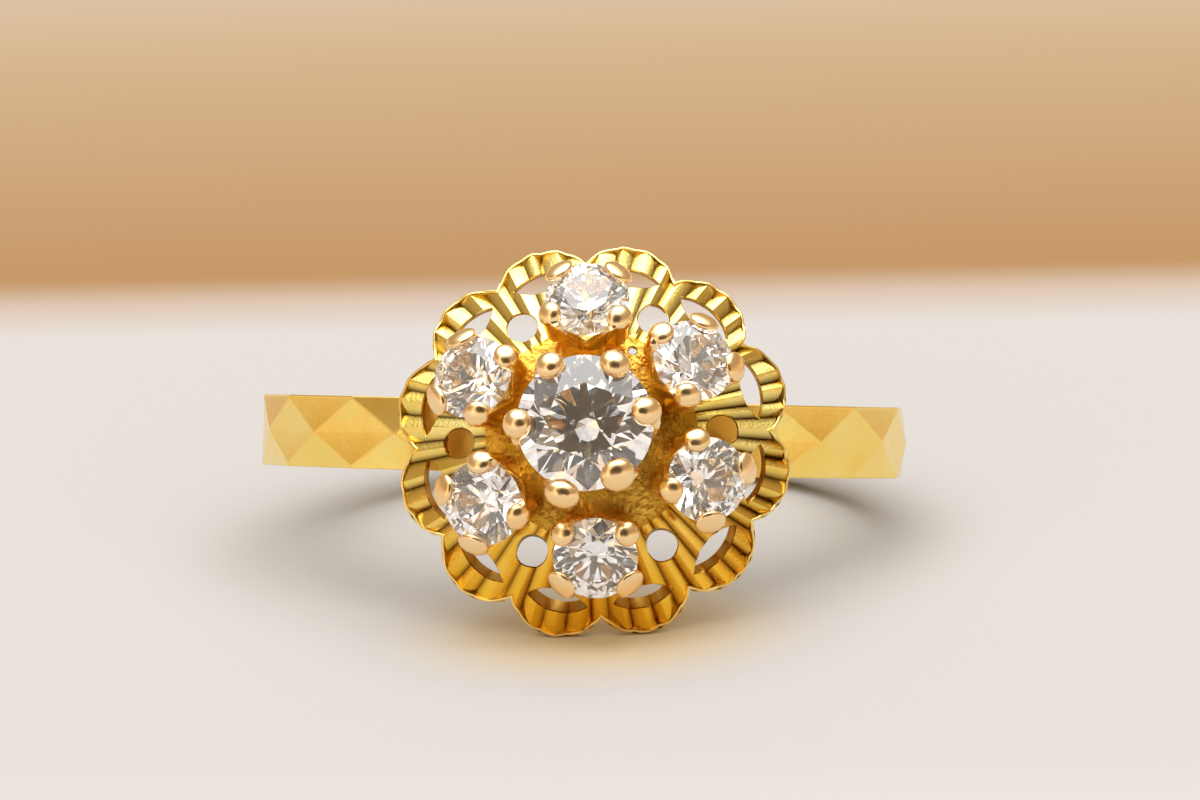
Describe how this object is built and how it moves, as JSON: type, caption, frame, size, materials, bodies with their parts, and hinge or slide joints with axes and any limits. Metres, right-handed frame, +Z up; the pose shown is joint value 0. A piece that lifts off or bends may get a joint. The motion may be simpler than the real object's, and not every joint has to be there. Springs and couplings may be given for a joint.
{
  "type": "finger ring",
  "caption": "Gold ring with a round clear stone in a raised claw crown, a circle of smaller stones in leaning claw cups, a pierced and fluted rosette with round lobes, and a narrow faceted band.",
  "frame": {"origin": "middle of the bounding box at the surface the ring lies on", "axes": "+Z up, away from the surface; +Y from the face of the ring back through the finger hole's far side; +X to the right as seen from the front. The ring lies on its side, with its face towards -Y and a little up"},
  "size_m": [0.0193, 0.0236, 0.0108],
  "materials": {
    "gold": "bright polished yellow gold, with flat bright-cut facets",
    "cubic_zirconia": "clear, polished and faceted"
  },
  "bodies": {
    "root": {"gold_ring": "gold", "centre_stone": "cubic_zirconia", "side_stone_1": "cubic_zirconia", "side_stone_2": "cubic_zirconia", "side_stone_3": "cubic_zirconia", "side_stone_4": "cubic_zirconia", "side_stone_5": "cubic_zirconia", "side_stone_6": "cubic_zirconia"}
  },
  "joints": []
}
